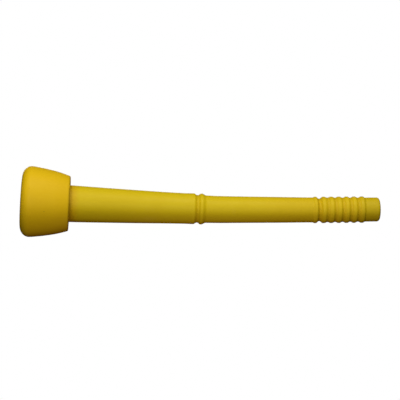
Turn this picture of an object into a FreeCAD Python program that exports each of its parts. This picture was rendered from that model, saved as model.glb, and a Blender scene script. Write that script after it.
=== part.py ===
import FreeCAD, Part
import math
import os

# Milking machine liner: one rubber moulding with a mouthpiece head, a tapered
# barrel, a seat collar for the shell and an integral short milk tube that ends
# in grip rings and a plain cuff.
#
# Frame: millimetres. +X runs along the head and barrel axis towards the milk
# tube, +Z is up. The origin is the centre of the mouth face.
#
# The moulding is cut into its functional zones. Where it flexes, the cut is a
# spherical face centred on that bend's hinge, so the zones turn on each other
# like nested cups without touching.

os.makedirs("parts", exist_ok=True)

V = FreeCAD.Vector
X_AXIS = V(1, 0, 0)
Y_AXIS = V(0, 1, 0)

# ---------------------------------------------------------------- dimensions
# outer skin, (distance from the mouth face, radius)
CORNER_LENGTH = 5.5          # rounded mouth corner, along the axis
CORNER_HEIGHT = 3.6          # rounded mouth corner, radially
FACE_RADIUS = 26.0           # where the flat mouth face meets that corner
HEAD_SKIN = [(5.5, 29.6), (9.7, 29.25), (13.1, 28.8), (18.2, 28.05), (21.6, 27.3),
             (26.7, 26.15), (30.0, 25.25), (35.1, 23.65), (37.0, 23.0)]
SKIRT_END = 38.2             # free end of the skirt
SKIRT_ROUND = 1.2
SKIRT_BORE = 20.4            # inside radius of the skirt, which grips the shell
POCKET_FLOOR = 22.0          # bottom of the annular pocket for the shell's rim

LIP_GAP = 0.3                # clearance round the lip diaphragm
LIP_RADIUS = 20.2            # outer radius of the lip diaphragm
LIP_HOLE = 10.5              # radius of the teat hole
LIP_THICK = 2.4
LIP_DISH = 4.0               # how far the hole's edge lies inside the mouth face
LIP_TRAVEL = 3.0

CHAMBER_RADIUS = 21.6        # mouthpiece chamber
CHAMBER_FLOOR = 18.4
THROAT_RADIUS = 12.8
WEB_FRONT = CHAMBER_FLOOR - 3.0      # where the web leaves the chamber wall
WEB_BACK = POCKET_FLOOR + 1.5        # and where it leaves the skirt

BARREL_SKIN = [(22.0, 15.35), (40.2, 15.15), (47.0, 15.0), (63.9, 14.5), (89.3, 13.8),
               (114.7, 13.05), (130.0, 12.65), (139.4, 12.5)]
BARREL_BORE_TOP = 12.6       # bore radius at the throat
BARREL_BORE_END = 9.9        # bore radius at the seat collar
BARREL_END = 139.4

COLLAR_SKIN = [(139.4, 12.5), (141.2, 12.65), (142.6, 12.75), (143.9, 12.45), (145.0, 11.6),
               (146.2, 11.35), (147.4, 11.65), (148.4, 12.5), (149.6, 12.75), (150.9, 12.45),
               (152.2, 11.55), (153.6, 11.25), (160.0, 11.15), (174.0, 10.95), (182.0, 10.86)]
CONE_START = 141.0           # the bore narrows from barrel to milk tube here
CONE_END = 152.0
TUBE_BORE = 6.0

TUBE_SKIN = [(150.0, 11.27), (160.0, 11.15), (174.0, 10.95), (186.7, 10.8), (199.4, 10.68), (212.0, 10.55),
             (224.0, 10.4), (237.4, 10.22), (241.0, 10.2)]
RING_CREST = 10.87           # radius over the grip rings
RING_CRESTS = [245.4, 252.7, 259.2, 265.7, 272.1, 278.5, 285.1]
RING_GROOVES = [(248.9, 9.25), (256.0, 10.0), (262.5, 9.95), (268.9, 9.9), (275.4, 9.87), (281.8, 9.85)]
CUFF_START = 288.2
CUFF_RADIUS = 9.82
TUBE_END = 300.0
RIM_ROUND = 2.0              # rounded end of the cuff, outside
RIM_ROUND_IN = 1.3           # and inside

# bends: zone that starts there, where its cut reaches the outer skin, the skin's
# radius there, the angle at the hinge between the axis and the cut's outer edge,
# and the moulding's slight natural bow at that bend, both in degrees
FACE_GAP = 0.3               # between the nested spherical faces
TUBE_CUP = 70.0
RING_CUP = 65.0
SEAM_TURN = 37.0             # each zone's surface seam lies this far round from the top
BENDS = [("tube_upper", 168.0, 11.04, TUBE_CUP, 2.0),
         ("tube_middle", 195.0, 10.72, TUBE_CUP, 0.2),
         ("tube_lower", 222.0, 10.43, TUBE_CUP, 0.2),
         ("ring_1", RING_GROOVES[0][0], RING_GROOVES[0][1], RING_CUP, 0.6),
         ("ring_2", RING_GROOVES[1][0], RING_GROOVES[1][1], RING_CUP, 0.0),
         ("ring_3", RING_GROOVES[2][0], RING_GROOVES[2][1], RING_CUP, 0.0),
         ("ring_4", RING_GROOVES[3][0], RING_GROOVES[3][1], RING_CUP, 0.0),
         ("ring_5", RING_GROOVES[4][0], RING_GROOVES[4][1], RING_CUP, 0.0),
         ("end_cuff", RING_GROOVES[5][0], RING_GROOVES[5][1], RING_CUP, 0.0)]


# ------------------------------------------------------------------- helpers
def spline(points, start=None, end=None):
    """A smooth edge through points in the plane y = 0, given as (x, r)."""
    c = Part.BSplineCurve()
    pts = [V(x, 0, r) for x, r in points]
    if start and end:
        c.interpolate(Points=pts, InitialTangent=V(start[0], 0, start[1]),
                      FinalTangent=V(end[0], 0, end[1]))
    else:
        c.interpolate(Points=pts)
    return c.toShape()


def line(a, b):
    return Part.makeLine(V(a[0], 0, a[1]), V(b[0], 0, b[1]))


def arc(a, m, b):
    return Part.Arc(V(a[0], 0, a[1]), V(m[0], 0, m[1]), V(b[0], 0, b[1])).toShape()


def quarter(cx, cr, radius, a0, a1):
    """An arc about (cx, cr) from angle a0 to a1, in degrees from +X towards +R."""
    pts = [(cx + radius * math.cos(math.radians(a)), cr + radius * math.sin(math.radians(a)))
           for a in (a0, (a0 + a1) / 2, a1)]
    return arc(*pts)


def revolve(edges):
    """The solid swept by a closed chain of edges turned about the X axis."""
    wire = Part.Wire(Part.__sortEdges__(edges))
    s = Part.Face(wire).revolve(V(0, 0, 0), X_AXIS, 360)
    s = s.Solids[0] if s.ShapeType != "Solid" else s
    if s.Volume < 0:
        s.reverse()
    return s


def ball(x, radius):
    return Part.makeSphere(radius, V(x, 0, 0))


# ------------------------------------------------------- full-length tube rod
# One straight revolve of the whole milk tube. Each flexing zone is cut out of
# it with two spheres, so neighbouring zones keep one continuous skin.
ring_line = []
for i, crest in enumerate(RING_CRESTS):
    left = RING_GROOVES[i - 1] if i else (241.6, 10.2)
    right = RING_GROOVES[i] if i < len(RING_GROOVES) else (CUFF_START, CUFF_RADIUS)
    ring_line += [left,
                  (left[0] + 0.30 * (crest - left[0]), left[1] + 0.30 * (RING_CREST - left[1])),
                  (crest - 1.35, RING_CREST - 0.12), (crest, RING_CREST), (crest + 1.35, RING_CREST - 0.12),
                  (right[0] - 0.30 * (right[0] - crest), right[1] + 0.30 * (RING_CREST - right[1]))]
ring_line += [(CUFF_START, CUFF_RADIUS)]

tube_outer = [spline(TUBE_SKIN + ring_line),
              line((CUFF_START, CUFF_RADIUS), (TUBE_END - RIM_ROUND, CUFF_RADIUS)),
              quarter(TUBE_END - RIM_ROUND, CUFF_RADIUS - RIM_ROUND, RIM_ROUND, 90, 0)]
rim_in = TUBE_BORE + RIM_ROUND_IN
tube_inner = [line((TUBE_END, CUFF_RADIUS - RIM_ROUND), (TUBE_END, rim_in)),
              quarter(TUBE_END - RIM_ROUND_IN, rim_in, RIM_ROUND_IN, 0, -90),
              line((TUBE_END - RIM_ROUND_IN, TUBE_BORE), (TUBE_SKIN[0][0], TUBE_BORE)),
              line((TUBE_SKIN[0][0], TUBE_BORE), TUBE_SKIN[0])]
tube_rod = revolve(tube_outer + tube_inner)

hinge_x = []
ball_radius = []
for name, x_cut, r_cut, cup, bow in BENDS:
    rs = r_cut / math.sin(math.radians(cup))
    ball_radius.append(rs)
    hinge_x.append(x_cut - rs * math.cos(math.radians(cup)))

# placement of each zone: the bows of all bends before it, one after another
placements = []
hinges = []
place = FreeCAD.Placement()
for (name, x_cut, r_cut, cup, bow), hx in zip(BENDS, hinge_x):
    turn = FreeCAD.Placement(V(0, 0, 0), FreeCAD.Rotation(Y_AXIS, -bow), V(hx, 0, 0))
    hinges.append(place.multVec(V(hx, 0, 0)))
    place = place.multiply(turn)
    placements.append(place)

parts = {}

# -------------------------------------------------------------- mouthpiece head
corner = [(CORNER_LENGTH * (1 - math.cos(math.radians(a))), FACE_RADIUS + CORNER_HEIGHT * math.sin(math.radians(a)))
          for a in (0, 15, 30, 45, 60, 75, 90)]
skin_end = (37.1, 22.95)
head_edges = [spline(corner, (0.0, 1.0), (1.0, 0.0)),
              spline(HEAD_SKIN[:-1] + [skin_end], (1.0, -0.02), (1.0, -0.36)),
              arc(skin_end, (SKIRT_END - 0.18, 22.3), (SKIRT_END, 21.7)),
              line((SKIRT_END, 21.7), (SKIRT_END, SKIRT_BORE + 0.5)),
              arc((SKIRT_END, SKIRT_BORE + 0.5), (SKIRT_END - 0.15, SKIRT_BORE + 0.15), (SKIRT_END - 0.5, SKIRT_BORE)),
              line((SKIRT_END - 0.5, SKIRT_BORE), (WEB_BACK, SKIRT_BORE)),
              line((WEB_BACK, SKIRT_BORE), (WEB_FRONT, CHAMBER_RADIUS)),
              line((WEB_FRONT, CHAMBER_RADIUS), (5.0, CHAMBER_RADIUS)),
              line((5.0, CHAMBER_RADIUS), (3.6, LIP_RADIUS + LIP_GAP)),
              line((3.6, LIP_RADIUS + LIP_GAP), (0.0, LIP_RADIUS + LIP_GAP)),
              line((0.0, LIP_RADIUS + LIP_GAP), (0.0, FACE_RADIUS))]
parts["mouthpiece_head"] = revolve(head_edges)

# ---------------------------------------------------------------- throat web
# The inner wall between the mouthpiece chamber and the shell pocket. It joins
# the head to the barrel.
web_edges = [line((WEB_FRONT, CHAMBER_RADIUS), (WEB_BACK, SKIRT_BORE)),
             arc((WEB_BACK, SKIRT_BORE), (POCKET_FLOOR + 0.44, SKIRT_BORE - 0.44), (POCKET_FLOOR, SKIRT_BORE - 1.5)),
             line((POCKET_FLOOR, SKIRT_BORE - 1.5), (POCKET_FLOOR, BARREL_BORE_TOP)),
             line((POCKET_FLOOR, BARREL_BORE_TOP), (CHAMBER_FLOOR + 1.6, THROAT_RADIUS)),
             arc((CHAMBER_FLOOR + 1.6, THROAT_RADIUS), (CHAMBER_FLOOR + 0.47, THROAT_RADIUS + 0.55), (CHAMBER_FLOOR, THROAT_RADIUS + 1.6)),
             line((CHAMBER_FLOOR, THROAT_RADIUS + 1.6), (CHAMBER_FLOOR, CHAMBER_RADIUS - 3.0)),
             arc((CHAMBER_FLOOR, CHAMBER_RADIUS - 3.0), (CHAMBER_FLOOR - 0.88, CHAMBER_RADIUS - 0.88), (WEB_FRONT, CHAMBER_RADIUS))]
parts["throat_web"] = revolve(web_edges)

# ------------------------------------------------------------------ lip diaphragm
# A dished ring: flat where it joins the head, sinking inwards to the teat hole.
lip_front = [(0.0, LIP_RADIUS), (0.5, LIP_RADIUS - 2.2), (2.0, LIP_RADIUS - 5.2), (LIP_DISH - 0.5, LIP_HOLE + 1.6), (LIP_DISH + 0.3, LIP_HOLE + 0.35)]
lip_back = [(LIP_DISH + LIP_THICK - 0.5, LIP_HOLE + 0.35), (LIP_DISH + LIP_THICK - 0.3, LIP_HOLE + 1.6), (2.0 + LIP_THICK + 0.2, LIP_RADIUS - 5.2), (0.5 + LIP_THICK + 0.1, LIP_RADIUS - 2.2), (LIP_THICK, LIP_RADIUS)]
parts["mouthpiece_lip"] = revolve([spline(lip_front),
                                   arc(lip_front[-1], (LIP_DISH + 1.1, LIP_HOLE), lip_back[0]),
                                   spline(lip_back), line(lip_back[-1], lip_front[0])])

# ------------------------------------------------------------------------ barrel
parts["barrel"] = revolve([spline(BARREL_SKIN),
                           line(BARREL_SKIN[-1], (BARREL_END, BARREL_BORE_END)),
                           line((BARREL_END, BARREL_BORE_END), (POCKET_FLOOR, BARREL_BORE_TOP)),
                           line((POCKET_FLOOR, BARREL_BORE_TOP), BARREL_SKIN[0])])

# ---------------------------------------------------------- shell seat collar
# Lip, groove and bead that lock into the bottom of the shell. Its nose is the
# convex half of the first bend.
collar_long = revolve([spline(COLLAR_SKIN),
                       line(COLLAR_SKIN[-1], (182.0, TUBE_BORE)),
                       line((182.0, TUBE_BORE), (CONE_END, TUBE_BORE)),
                       line((CONE_END, TUBE_BORE), (CONE_START, BARREL_BORE_END)),
                       line((CONE_START, BARREL_BORE_END), (BARREL_END, BARREL_BORE_END)),
                       line((BARREL_END, BARREL_BORE_END), COLLAR_SKIN[0])])
nose = Part.makeCylinder(30.0, 40.0, V(BENDS[0][1], 0, 0), X_AXIS).cut(ball(hinge_x[0], ball_radius[0]))
parts["seat_collar"] = collar_long.cut(nose).Solids[0]

# --------------------------------------------- milk tube, grip rings and cuff
for i, (name, x_cut, r_cut, cup, bow) in enumerate(BENDS):
    # everything left of this zone's own cup is taken off, and everything right
    # of the next bend's nose
    left_cut = Part.makeCylinder(30.0, x_cut - 100.0, V(100.0, 0, 0), X_AXIS).fuse(
        ball(hinge_x[i], ball_radius[i] + FACE_GAP))
    zone = tube_rod.cut(left_cut)
    if i + 1 < len(BENDS):
        right_cut = Part.makeCylinder(30.0, 400.0, V(BENDS[i + 1][1], 0, 0), X_AXIS).cut(
            ball(hinge_x[i + 1], ball_radius[i + 1]))
        zone = zone.cut(right_cut)
    zone = max(zone.Solids, key=lambda s: s.Volume)
    zone = zone.copy()
    zone.rotate(V(0, 0, 0), X_AXIS, SEAM_TURN)
    zone.Placement = placements[i].multiply(zone.Placement)
    parts[name] = zone

for name, shape in parts.items():
    if not shape.isValid() or len(shape.Solids) != 1:
        raise RuntimeError(name + " is not one valid solid")
    shape.exportStep("parts/" + name + ".step")
    b = shape.BoundBox
    print("%-16s %8.0f mm3  x %7.2f..%7.2f  z %7.2f..%7.2f" % (name, shape.Volume, b.XMin, b.XMax, b.ZMin, b.ZMax))
for (name, x_cut, r_cut, cup, bow), h, rs in zip(BENDS, hinges, ball_radius):
    print("bend %-12s hinge at x %.3f z %.3f, nose radius %.3f" % (name, h.x, h.z, rs))
end = placements[-1].multVec(V(TUBE_END, 0, 0))
along = placements[-1].Rotation.multVec(X_AXIS)
print("tube end centre x %.3f z %.3f, direction %.5f %.5f %.5f" % (end.x, end.z, along.x, along.y, along.z))
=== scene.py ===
import math
import bpy
import numpy as np
from mathutils import Matrix, Vector


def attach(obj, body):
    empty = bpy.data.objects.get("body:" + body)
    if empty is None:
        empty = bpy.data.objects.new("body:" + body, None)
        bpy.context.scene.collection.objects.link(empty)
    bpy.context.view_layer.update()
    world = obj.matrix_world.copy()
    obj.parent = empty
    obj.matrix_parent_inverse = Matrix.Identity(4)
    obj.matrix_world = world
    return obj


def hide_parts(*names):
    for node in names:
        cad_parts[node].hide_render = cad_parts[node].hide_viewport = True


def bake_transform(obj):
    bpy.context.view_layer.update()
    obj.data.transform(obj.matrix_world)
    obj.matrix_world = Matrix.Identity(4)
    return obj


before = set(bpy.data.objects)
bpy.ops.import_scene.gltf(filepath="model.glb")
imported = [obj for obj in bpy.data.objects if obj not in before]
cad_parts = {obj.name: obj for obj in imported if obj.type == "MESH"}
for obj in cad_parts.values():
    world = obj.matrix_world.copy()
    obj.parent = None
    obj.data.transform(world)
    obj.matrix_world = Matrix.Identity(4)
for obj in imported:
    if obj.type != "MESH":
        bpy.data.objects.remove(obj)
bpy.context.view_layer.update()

MM = 0.001

# --------------------------------------------------------------------------
# Skin of the moulding: (distance from the mouth face, radius), millimetres
# --------------------------------------------------------------------------
CORNER_LENGTH, CORNER_HEIGHT, FACE_RADIUS = 7.8, 8.35, 21.1
FACE_X = -0.8
HEAD = [(5.5, 29.6), (9.7, 29.25), (13.1, 28.8), (18.2, 28.05), (21.6, 27.42), (26.7, 26.42),
        (30.0, 25.62), (35.1, 24.15), (38.2, 23.15)]
BODY = [(20.0, 15.45), (30.0, 15.3), (40.2, 15.15), (47.0, 15.0), (63.9, 14.5), (89.3, 13.8), (114.7, 13.05),
        (130.0, 12.68), (138.0, 12.6), (142.0, 12.68)]
TUBE = [(153.9, 11.24), (160.0, 11.15), (174.0, 10.95), (186.7, 10.8), (199.4, 10.68), (212.0, 10.55),
        (224.0, 10.4), (237.4, 10.24), (243.0, 10.2)]
RING_CREST = 10.82
SKIN_THICKER = ([38.0, 90.0, 150.0, 240.0, 300.0], [0.06, 0.08, 0.13, 0.21, 0.20])
CRESTS = [245.5, 252.6, 259.2, 265.7, 272.1, 278.5, 285.3]
GROOVES = [(248.9, 9.18), (256.0, 10.03), (262.5, 9.97), (268.9, 9.9), (275.4, 9.87), (281.8, 9.83)]
CUFF_START, CUFF_RADIUS, TUBE_END = 288.2, 9.83, 300.0
RIM_OUT, RIM_IN, TUBE_BORE = 2.2, 1.3, 6.0


def cubic(points):
    """Natural cubic spline through (x, r) points, as a function of x."""
    x = np.array([p[0] for p in points], float)
    y = np.array([p[1] for p in points], float)
    n = len(x)
    h = np.diff(x)
    A = np.zeros((n, n)); b = np.zeros(n)
    A[0, 0] = A[-1, -1] = 1
    for i in range(1, n - 1):
        A[i, i - 1], A[i, i], A[i, i + 1] = h[i - 1], 2 * (h[i - 1] + h[i]), h[i]
        b[i] = 6 * ((y[i + 1] - y[i]) / h[i] - (y[i] - y[i - 1]) / h[i - 1])
    m = np.linalg.solve(A, b)

    def f(q):
        q = np.asarray(q, float)
        i = np.clip(np.searchsorted(x, q) - 1, 0, n - 2)
        t0, t1 = x[i + 1] - q, q - x[i]
        return (m[i] * t0 ** 3 + m[i + 1] * t1 ** 3) / (6 * h[i]) + (y[i] / h[i] - m[i] * h[i] / 6) * t0 + (y[i + 1] / h[i] - m[i + 1] * h[i] / 6) * t1
    return f


head_skin = cubic([(hx_, hr_ - 0.06) for hx_, hr_ in HEAD])
body_skin = cubic(BODY)
tube_skin = cubic(TUBE)


def smooth(t):
    t = np.clip(t, 0, 1)
    return t * t * t * (t * (6 * t - 15) + 10)


def skin(x):
    """Outer radius of the barrel, collar, tube, rings and cuff at x."""
    x = np.asarray(x, float)
    r = np.where(x < 142.0, body_skin(np.clip(x, 20.0, 142.0)), tube_skin(np.clip(x, 153.9, 243.0)))
    # double collar: lip, groove, bead
    lip, groove, bead, tube = 12.70, 11.30, 12.74, 11.24
    r = np.where((x > 141.5) & (x <= 142.7), 12.66 + (lip - 12.66) * smooth((x - 141.5) / 1.2), r)
    r = np.where((x > 142.7) & (x <= 146.0), lip + (groove - lip) * smooth((x - 142.7) / 3.3), r)
    r = np.where((x > 146.0) & (x <= 149.2), groove + (bead - groove) * smooth((x - 146.0) / 3.2), r)
    r = np.where((x > 149.2) & (x <= 153.9), bead + (tube - bead) * smooth((x - 149.2) / 4.7), r)
    # rings
    for i, c in enumerate(CRESTS):
        left = GROOVES[i - 1] if i else (243.2, 10.2)
        right = GROOVES[i] if i < len(GROOVES) else (CUFF_START, CUFF_RADIUS)
        cap = 0.45
        r = np.where((x > left[0]) & (x <= c - cap), left[1] + (RING_CREST - left[1]) * smooth((x - left[0]) / (c - cap - left[0])), r)
        r = np.where((x > c - cap) & (x <= c + cap), RING_CREST, r)
        r = np.where((x > c + cap) & (x <= right[0]), RING_CREST + (right[1] - RING_CREST) * smooth((x - c - cap) / (right[0] - c - cap)), r)
    r = np.where(x > CUFF_START, CUFF_RADIUS, r)
    return r + np.interp(x, *SKIN_THICKER)


def bore(x):
    """Inner radius of the barrel, transition cone and milk tube at x."""
    x = np.asarray(x, float)
    r = 12.6 + (9.9 - 12.6) * (x - 22.0) / (139.4 - 22.0)
    cone = 9.9 + (TUBE_BORE - 9.9) * smooth((x - 140.0) / 14.0)
    return np.where(x < 140.0, r, cone)


# --------------------------------------------------------------------------
# Natural bow: the axis turns up slowly between the barrel and the cuff
# --------------------------------------------------------------------------
BOW = [(45.0, 0.61, 30.0), (105.0, 0.58, 40.0), (163.982, 1.70, 16.0), (191.082, -0.03, 14.0), (218.167, 0.12, 12.0), (246.6, 0.61, 7.0)]
START_ANGLE, START_Z = -0.505, 0.17
_xs = np.linspace(-5, 305, 3101)
_angle = np.full_like(_xs, math.radians(START_ANGLE))
for _h, _deg, _w in BOW:
    _angle += math.radians(_deg) * smooth((_xs - (_h - _w)) / (2 * _w))
_step = _xs[1] - _xs[0]
_cx = _xs[0] + np.concatenate([[0], np.cumsum((np.cos(_angle[1:]) + np.cos(_angle[:-1])) / 2)]) * _step
_cz = START_Z + np.concatenate([[0], np.cumsum((np.sin(_angle[1:]) + np.sin(_angle[:-1])) / 2)]) * _step


def on_axis(x, r, theta):
    """Points of the bowed moulding, in metres, from the straight (x, r, theta)."""
    a = np.interp(x, _xs, _angle)
    px, pz = np.interp(x, _xs, _cx), np.interp(x, _xs, _cz)
    up = r * np.sin(theta)
    return np.stack([px - np.sin(a) * up, -r * np.cos(theta), pz + np.cos(a) * up], -1) * MM


# --------------------------------------------------------------------------
# Lathe: a closed ring of (x, r) turned about the axis into a closed mesh
# --------------------------------------------------------------------------
SEGMENTS = 144
_t = np.arange(SEGMENTS) * 2 * math.pi / SEGMENTS
_extra = [math.radians(a + s) for a in (90, 270) for s in (-1.25, 1.25)]
THETA = np.sort(np.concatenate([_t, _extra]))
_d = np.minimum(np.abs(np.degrees(THETA) - 90), np.abs(np.degrees(THETA) - 270))
SEAM = np.clip(1 - _d / 2.5, 0, 1)       # 1 on the mould's parting line, 0 elsewhere


def lathe(name, runs, sharp_joins=(), seam=0.11):
    """runs: list of (x array, r array, is_outer). Consecutive runs join end to end and the last joins the first.
    A join named in sharp_joins, by the run it follows, stays a crisp edge."""
    xs, rs, outer, crisp = [], [], [], []
    for k, (x, r, is_outer) in enumerate(runs):
        x, r = np.atleast_1d(np.asarray(x, float)), np.atleast_1d(np.asarray(r, float))
        keep = slice(0, len(x) - 1)          # the last point is the next run's first
        xs.append(x[keep]); rs.append(r[keep]); outer.append(np.full(len(x) - 1, is_outer))
        flags = np.zeros(len(x) - 1, bool)
        if (k - 1) % len(runs) in sharp_joins:
            flags[0] = True
        crisp.append(flags)
    x, r, o, s = (np.concatenate(v) for v in (xs, rs, outer, crisp))
    n, m = len(x), len(THETA)
    rr = r[:, None] + (seam * SEAM[None, :] * o[:, None] if seam else 0)
    pts = on_axis(np.repeat(x[:, None], m, 1), rr, np.repeat(THETA[None, :], n, 0)).reshape(-1, 3)
    i, j = np.meshgrid(np.arange(n), np.arange(m), indexing="ij")
    i2, j2 = (i + 1) % n, (j + 1) % m
    quads = np.stack([i * m + j, i * m + j2, i2 * m + j2, i2 * m + j], -1).reshape(-1, 4)
    me = bpy.data.meshes.new(name)
    me.from_pydata(pts.tolist(), [], quads.tolist())
    me.validate()
    me.shade_smooth()
    # volume sign, so that faces point out of the rubber
    co = pts
    a, b, c, d = (co[quads[:, k]] for k in range(4))
    volume = (np.cross(b - a, c - a) * a).sum() + (np.cross(c - a, d - a) * a).sum()
    if volume < 0:
        me.flip_normals()
    if s.any():
        rings = set(np.nonzero(s)[0].tolist())
        sharp = np.zeros(len(me.edges), bool)
        ev = np.empty(len(me.edges) * 2, int)
        me.edges.foreach_get("vertices", ev)
        ev = ev.reshape(-1, 2)
        same = (ev[:, 0] // m) == (ev[:, 1] // m)
        sharp = same & np.isin(ev[:, 0] // m, list(rings))
        at = me.attributes.new("sharp_edge", "BOOLEAN", "EDGE")
        at.data.foreach_set("value", sharp)
    for key, values in zip(("grime_and_painted_shade", "proud"), grime_shade_and_wear_masks(x, r, o.astype(bool))):
        at = me.attributes.new(key, "FLOAT", "POINT")
        at.data.foreach_set("value", np.repeat(values, m).astype(np.float32))
    me.update()
    ob = bpy.data.objects.new(name, me)
    bpy.context.scene.collection.objects.link(ob)
    return ob


def grime_shade_and_wear_masks(x, r, outer):
    """0 to 1 per profile point: how deep it lies in a groove or inside the skirt pocket, for grime and painted
    shade, and how exposed it is on a crest, for wear.
    """
    envelope = np.where((x > 246.5) & (x < 284.6), RING_CREST + 0.2, np.where((x > 142.1) & (x < 149.4), 12.85, 0.0))
    groove_grime_and_shade = np.clip((envelope - r) / 0.9, 0, 1) * (envelope > 0) * outer
    nearest = np.min(np.abs(x[:, None] - np.array(CRESTS + [142.4, 149.2])[None, :]), axis=1)
    proud = np.clip(1 - nearest / 1.1, 0, 1) * outer
    pocket_painted_shade = np.where((~outer) & (x > 21.0) & (x < 38.0) & (r < 20.6) & (r > 15.0), 1.0, 0.0)
    return np.maximum(groove_grime_and_shade, pocket_painted_shade), proud


def arc(cx, cr, rx, rr, a0, a1, n=9):
    a = np.radians(np.linspace(a0, a1, n))
    return cx + rx * np.cos(a), cr + rr * np.sin(a)


def run(a, b, step=1.0):
    n = max(2, int(abs(b - a) / step) + 2)
    return np.linspace(a, b, n)


def straight(a, b, n=2):
    return np.linspace(a[0], b[0], n), np.linspace(a[1], b[1], n)


# --------------------------------------------------------------------------
# Material: yellow moulded rubber, satin, with bloom, grime, painted shade in hollows and a fine grain
# --------------------------------------------------------------------------
def rubber():
    mat = bpy.data.materials.new("liner_rubber")
    mat.use_nodes = True
    nt = mat.node_tree
    nt.nodes.clear()
    N, L = nt.nodes.new, nt.links.new
    out = N("ShaderNodeOutputMaterial")
    bsdf = N("ShaderNodeBsdfPrincipled")
    L(bsdf.outputs[0], out.inputs[0])
    tc = N("ShaderNodeTexCoord")
    pos = tc.outputs["Object"]
    sep = N("ShaderNodeSeparateXYZ"); L(pos, sep.inputs[0])

    def ramp(fac, stops, interp="EASE"):
        node = N("ShaderNodeValToRGB"); L(fac, node.inputs[0])
        cr = node.color_ramp; cr.interpolation = interp
        while len(cr.elements) < len(stops):
            cr.elements.new(0.5)
        for e, (p, c) in zip(cr.elements, stops):
            e.position = p; e.color = (*c, 1) if len(c) == 3 else c
        return node.outputs[0]

    def noise(scale, detail=3.0, rough=0.55, dist=0.0, vec=pos):
        node = N("ShaderNodeTexNoise"); L(vec, node.inputs["Vector"])
        node.inputs["Scale"].default_value = scale
        node.inputs["Detail"].default_value = detail
        node.inputs["Roughness"].default_value = rough
        node.inputs["Distortion"].default_value = dist
        return node.outputs["Fac"]

    def mapr(fac, a, b, c, d):
        node = N("ShaderNodeMapRange"); L(fac, node.inputs["Value"])
        for k, v in zip(("From Min", "From Max", "To Min", "To Max"), (a, b, c, d)):
            node.inputs[k].default_value = v
        return node.outputs[0]

    def mix(fac, a, b, blend="MIX"):
        node = N("ShaderNodeMix"); node.data_type = "RGBA"; node.blend_type = blend
        if isinstance(fac, float):
            node.inputs["Factor"].default_value = fac
        else:
            L(fac, node.inputs["Factor"])
        for k, v in ((6, a), (7, b)):
            if isinstance(v, tuple):
                node.inputs[k].default_value = (*v, 1)
            else:
                L(v, node.inputs[k])
        return node.outputs[2]

    def math_(op, a, b=None):
        node = N("ShaderNodeMath"); node.operation = op
        for k, v in enumerate((a, b)):
            if v is None:
                continue
            if isinstance(v, (int, float)):
                node.inputs[k].default_value = v
            else:
                L(v, node.inputs[k])
        return node.outputs[0]

    # along the part: warmer head, painted shade band on the barrel beside the skirt, lemon barrel and tube, duller
    # cuff
    along = mapr(sep.outputs[0], 0.0, 0.3, 0.0, 1.0)
    zone = ramp(along, [(0.0, HEAD_COLOR), (0.127, HEAD_COLOR), (0.1275, SKIRT_PAINTED_SHADE_COLOR), (0.136, SKIRT_PAINTED_SHADE_COLOR), (0.162, BARREL_COLOR),
                        (0.55, BARREL_COLOR), (0.80, TUBE_COLOR), (0.93, TUBE_COLOR), (0.962, CUFF_COLOR), (1.0, CUFF_COLOR)])
    # cloudy mottling, two sizes
    cloud = noise(38.0, 4.0, 0.6, 0.4)
    zone = mix(mapr(cloud, 0.35, 0.70, 0.0, 0.30), zone, mix(1.0, zone, (0.90, 0.84, 0.6), "MULTIPLY"))
    patch = noise(130.0, 3.0, 0.55)
    zone = mix(mapr(patch, 0.50, 0.72, 0.0, 0.22), zone, mix(1.0, zone, (1.06, 1.03, 1.6), "MULTIPLY"))
    # pale bloom where the surface has been handled
    bloom = noise(60.0, 5.0, 0.65, 0.8)
    zone = mix(mapr(bloom, 0.60, 0.78, 0.0, 0.20), zone, BLOOM_COLOR)
    # grime and painted shade in grooves, painted shade inside the skirt pocket, and rubbed crests
    def mask(name):
        node = N("ShaderNodeAttribute"); node.attribute_name = name
        return node.outputs["Fac"]
    # darkens the grooves with grime and painted shade, and the inside of the skirt pocket with painted shade
    zone = mix(math_("MULTIPLY", mask("grime_and_painted_shade"), 0.28), zone, mix(1.0, zone, (0.72, 0.60, 0.5), "MULTIPLY"))
    zone = mix(math_("MULTIPLY", mask("proud"), mapr(patch, 0.35, 0.7, 0.1, 0.9)), zone, mix(1.0, zone, (1.07, 1.07, 1.6), "MULTIPLY"))
    # sparse dark specks
    vor = N("ShaderNodeTexVoronoi"); L(pos, vor.inputs["Vector"])
    vor.inputs["Scale"].default_value = 150.0
    vor.inputs["Randomness"].default_value = 1.0
    spot = mapr(vor.outputs["Distance"], 0.035, 0.075, 1.0, 0.0)
    sepc = N("ShaderNodeSeparateColor"); L(vor.outputs["Color"], sepc.inputs[0])
    rare = math_("GREATER_THAN", sepc.outputs[0], 0.86)
    speck = math_("MULTIPLY", spot, rare)
    zone = mix(math_("MULTIPLY", speck, 0.55), zone, (0.16, 0.085, 0.012))
    L(zone, bsdf.inputs["Base Color"])

    rough = math_("ADD", mapr(cloud, 0.3, 0.75, 0.50, 0.60), mapr(bloom, 0.58, 0.8, 0.0, 0.12))
    L(rough, bsdf.inputs["Roughness"])

    grain = noise(2600.0, 2.0, 0.5)
    peel = noise(620.0, 2.0, 0.5)
    wave = noise(95.0, 2.0, 0.5)
    h = math_("ADD", math_("MULTIPLY", grain, 0.25), math_("ADD", math_("MULTIPLY", peel, 0.5), math_("MULTIPLY", wave, 1.6)))
    h = math_("SUBTRACT", h, math_("MULTIPLY", speck, 0.3))
    bump = N("ShaderNodeBump"); L(h, bump.inputs["Height"])
    bump.inputs["Strength"].default_value = 0.55
    bump.inputs["Distance"].default_value = 0.00009
    L(bump.outputs[0], bsdf.inputs["Normal"])

    bsdf.inputs["IOR"].default_value = 1.5
    bsdf.inputs["Specular IOR Level"].default_value = 0.14
    return mat


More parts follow.
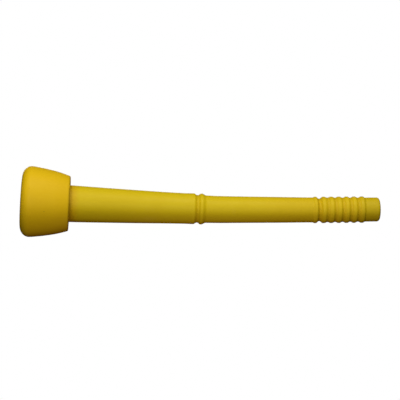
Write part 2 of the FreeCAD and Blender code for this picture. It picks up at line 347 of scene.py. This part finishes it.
HEAD_COLOR = (0.840, 0.540, 0.0058)
BARREL_COLOR = (0.735, 0.545, 0.0060)
TUBE_COLOR = (0.735, 0.520, 0.0065)
CUFF_COLOR = (0.640, 0.468, 0.0060)
# painted shade: the head's shadow on the barrel just beside the skirt
SKIRT_PAINTED_SHADE_COLOR = (0.670, 0.430, 0.0042)
BLOOM_COLOR = (0.790, 0.580, 0.060)
RUBBER = rubber()


def finish_piece(ob, *nodes):
    ob.data.materials.clear()
    ob.data.materials.append(RUBBER)
    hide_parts(*nodes)
    return ob


# --------------------------------------------------------------------------
# Pieces
# --------------------------------------------------------------------------
# head: face, rounded corner, taper, skirt with its rim, pocket, web, chamber
HINGE_R = 20.35
ca = arc(CORNER_LENGTH + FACE_X, FACE_RADIUS, CORNER_LENGTH, CORNER_HEIGHT, 180, 90, 17)
hx = run(7.0, 38.1, 0.8)
skirt_r = float(head_skin(38.1))
head_runs = [
    (*straight((FACE_X + 0.22, HINGE_R), (FACE_X, HINGE_R + 0.45), 3), False),
    (*straight((FACE_X, HINGE_R + 0.45), (FACE_X, FACE_RADIUS), 3), False),
    (ca[0], ca[1], True),
    (hx, head_skin(hx), True),
    ([38.1, 38.5, 38.82, 39.06, 39.2, 39.25], [skirt_r, skirt_r - 0.14, skirt_r - 0.34, skirt_r - 0.64, skirt_r - 0.98, skirt_r - 1.38], True),
    ([39.25, 39.25, 39.18, 39.02, 38.78], [skirt_r - 1.38, 20.9, 20.66, 20.47, 20.4], False),
    (*straight((38.78, 20.4), (23.5, 20.4), 12), False),
    (*arc(23.5, 18.9, 1.5, 1.5, 90, 180, 7), False),
    (*straight((22.0, 18.9), (22.0, 16.9), 4), False),
    (*straight((22.0, 16.9), (22.0, 13.6), 2), False),
    (*straight((22.0, 13.6), (21.6, 12.75), 2), False),
    (*straight((21.6, 12.75), (20.0, 12.8), 3), False),
    (*arc(20.0, 14.4, 1.6, 1.6, 270, 180, 7), False),
    (*straight((18.4, 14.4), (18.4, 18.6), 5), False),
    (*arc(15.4, 18.6, 3.0, 3.0, 0, 90, 9), False),
    (*straight((15.4, 21.6), (5.0, 21.6), 9), False),
    (*straight((5.0, 21.6), (3.3, HINGE_R), 4), False),
    (*straight((3.3, HINGE_R), (FACE_X + 0.22, HINGE_R), 4), False),
]
head = lathe("head_moulding", head_runs, sharp_joins=(8, 9, 16, 17))
finish_piece(head, "mouthpiece_head", "throat_web")
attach(head, "moulded_body")

# lip: dished diaphragm that thins towards a rounded hole edge
fr = np.array([HINGE_R, 19.9, 19.3, 18.3, 17.0, 15.6, 14.2, 13.0, 12.1, 11.4])
fx = FACE_X + 0.22 - 0.22 * smooth((HINGE_R - fr) / 0.5) + 5.0 * smooth((20.2 - fr) / 11.5)
tail = arc(fx[-1] + 1.05, 11.45, 1.05, 0.95, 180 + 8, 360 - 8, 13)
bx = fx[::-1] + 2.3 + 0.5 * smooth((fr[::-1] - 11.4) / 8.0)
lip_runs = [
    (fx, fr, False),
    (np.concatenate([[fx[-1]], tail[0], [bx[0]]]), np.concatenate([[fr[-1]], tail[1], [fr[-1]]]), False),
    (bx, fr[::-1], False),
    (*straight((bx[-1], HINGE_R), (FACE_X + 0.22, HINGE_R), 4), False),
]
lip = lathe("lip_diaphragm", lip_runs, sharp_joins=(2, 3), seam=0.0)
finish_piece(lip, "mouthpiece_lip")
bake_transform(lip)
co = np.empty(len(lip.data.vertices) * 3); lip.data.vertices.foreach_get("co", co)


def tube_piece(name, x0, x1, nodes, start_cap=True, step=0.9):
    """A closed length of the barrel or tube, between two planes across the axis."""
    x = run(x0, x1, step)
    runs = [(x, skin(x), True),
            (*straight((x1, float(skin(x1))), (x1, float(bore(x1))), 2), False),
            (x[::-1], bore(x[::-1]), False),
            (*straight((x0, float(bore(x0))), (x0, float(skin(x0))), 2), False)]
    return finish_piece(lathe(name, runs, sharp_joins=(0, 1, 2, 3)), *nodes)


def bend(ob):
    """Bakes the object's transform into its mesh; it does not blend between bodies."""
    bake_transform(ob)


# barrel with its collar and the start of the tube
xb = np.concatenate([run(21.9, 138.0, 1.5), run(138.0, 156.0, 0.3)[1:], run(156.0, 176.0, 0.8)[1:]])
barrel_runs = [(xb, skin(xb), True),
               (*straight((176.0, float(skin(176.0))), (176.0, TUBE_BORE), 2), False),
               (xb[::-1], bore(xb[::-1]), False),
               (*straight((21.9, float(bore(21.9))), (21.9, float(skin(21.9))), 2), False)]
barrel = finish_piece(lathe("barrel_moulding", barrel_runs, sharp_joins=(0, 1, 2, 3)), "barrel", "seat_collar")
bend(barrel)

upper = tube_piece("milk_tube_upper", 176.0, 206.0, ["tube_upper"])
bend(upper)
middle = tube_piece("milk_tube_middle", 206.0, 230.4, ["tube_middle"])
bend(middle)
lower = tube_piece("milk_tube_lower", 230.4, CRESTS[1], ["tube_lower"], step=0.25)
bend(lower)
for k in range(5):
    ob = tube_piece("grip_ring_%d" % (k + 1), CRESTS[k + 1], CRESTS[k + 2], ["ring_%d" % (k + 1)], step=0.2)
    bend(ob)

# cuff: last half ring, plain end and full rounded rim
xc = np.concatenate([run(CRESTS[6], 288.6, 0.2), run(288.6, TUBE_END - RIM_OUT, 0.8)[1:]])
rim = arc(TUBE_END - RIM_OUT, float(skin(TUBE_END - RIM_OUT)) - 1.9, RIM_OUT, 1.9, 90, 0, 11)
inner = arc(TUBE_END - RIM_IN, TUBE_BORE + RIM_IN, RIM_IN, RIM_IN, 0, -90, 8)
cuff_runs = [(xc, skin(xc), True),
             (rim[0], rim[1], True),
             (*straight((rim[0][-1], rim[1][-1]), (inner[0][0], inner[1][0]), 3), False),
             (inner[0], inner[1], False),
             (*straight((inner[0][-1], TUBE_BORE), (CRESTS[6], TUBE_BORE), 10), False),
             (*straight((CRESTS[6], TUBE_BORE), (CRESTS[6], float(skin(CRESTS[6]))), 2), False)]
cuff = finish_piece(lathe("cuff_end", cuff_runs, sharp_joins=(4, 5)), "end_cuff")
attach(cuff, "cuff")

# --------------------------------------------------------------------------
# Stage, light, camera
# --------------------------------------------------------------------------
scene = bpy.context.scene
scene.view_settings.view_transform = "Standard"
scene.view_settings.look = "None"
scene.view_settings.exposure = 0.0
scene.view_settings.gamma = 1.0

floor_mesh = bpy.data.meshes.new("floor")
S, Z = 14.0, -0.42
floor_mesh.from_pydata([(-S, -S, Z), (S, -S, Z), (S, S, Z), (-S, S, Z)], [], [(0, 1, 2, 3)])
floor = bpy.data.objects.new("floor", floor_mesh)
scene.collection.objects.link(floor)
fm = bpy.data.materials.new("pale_floor")
fm.use_nodes = True
fm.node_tree.nodes.clear()
fo = fm.node_tree.nodes.new("ShaderNodeOutputMaterial")
fe = fm.node_tree.nodes.new("ShaderNodeEmission")
fe.inputs["Color"].default_value = (1, 1, 1, 1)
fe.inputs["Strength"].default_value = 1.0
fm.node_tree.links.new(fe.outputs[0], fo.inputs[0])
floor_mesh.materials.append(fm)
floor.visible_diffuse = False
floor.visible_glossy = False
floor.visible_shadow = False

world = bpy.data.worlds.new("studio")
scene.world = world
world.use_nodes = True
wt = world.node_tree
wt.nodes.clear()
wo = wt.nodes.new("ShaderNodeOutputWorld")
seen = wt.nodes.new("ShaderNodeBackground"); seen.inputs[0].default_value = (1, 1, 1, 1); seen.inputs[1].default_value = 1.0
fill = wt.nodes.new("ShaderNodeBackground"); fill.inputs[0].default_value = (1.0, 0.55, 0.30, 1); fill.inputs[1].default_value = 0.015
lp = wt.nodes.new("ShaderNodeLightPath")
mx = wt.nodes.new("ShaderNodeMixShader")
wt.links.new(lp.outputs["Is Camera Ray"], mx.inputs[0])
wt.links.new(fill.outputs[0], mx.inputs[1])
wt.links.new(seen.outputs[0], mx.inputs[2])
wt.links.new(mx.outputs[0], wo.inputs[0])


def area(name, at, aim, size, size_y, power, color=(1, 1, 1)):
    data = bpy.data.lights.new(name, "AREA")
    data.shape = "RECTANGLE"; data.size = size; data.size_y = size_y
    data.energy = power; data.color = color
    ob = bpy.data.objects.new(name, data)
    ob.location = at
    ob.rotation_euler = (Vector(aim) - Vector(at)).to_track_quat("-Z", "Y").to_euler()
    scene.collection.objects.link(ob)
    return ob


MID = Vector((0.15, 0, 0))


def from_front(elevation, distance, x=0.15, aim=MID):
    """A place in front of the part, that far up from level."""
    e = math.radians(elevation)
    return (x, -distance * math.cos(e), distance * math.sin(e))


area("front", from_front(10, 1.6, -0.16), MID, 1.0, 0.5, 11.1, (1.0, 0.985, 0.955))
area("key", from_front(62, 1.5, 0.08), MID, 1.1, 0.6, 15.0, (1.0, 0.99, 0.97))
area("bounce", (0.175, -0.05, -0.20), (0.175, 0, 0), 0.12, 0.08, 0.056, (1.0, 0.60, 0.27))

back_light = area("back", (0.15, 1.6, 0.25), MID, 1.2, 0.5, 5.0, (1.0, 0.985, 0.955))
back_light.visible_camera = False

cam_data = bpy.data.cameras.new("camera")
cam = bpy.data.objects.new("camera", cam_data)
scene.collection.objects.link(cam)
ROLL, U0, V0, DIST, YAW, MM_PER_PX = math.radians(2.655), 1.604, -7.94, 1300.0, math.radians(4.0), 0.83836
cam_data.sensor_width = 36.0
cam_data.lens = 36.0 * (DIST / MM_PER_PX) / 400.0
cam_data.clip_start = 0.01
cam_data.clip_end = 60.0
# part to camera-aligned axes: yaw about Z, then roll about the view direction, then the offset
Ry = Matrix.Rotation(YAW, 3, "Z")
Rr = Matrix(((math.cos(ROLL), 0, math.sin(ROLL)), (0, 1, 0), (-math.sin(ROLL), 0, math.cos(ROLL))))
R = Rr @ Ry                                   # part -> view-aligned
back = R.transposed()
where = back @ (Vector((-U0, -DIST, -V0))) * MM + Vector((0.15, 0, 0))
right, forward, up = back @ Vector((1, 0, 0)), back @ Vector((0, 1, 0)), back @ Vector((0, 0, 1))
m = Matrix((right, up, -forward)).transposed().to_4x4()
m.translation = where
cam.matrix_world = m
scene.camera = cam
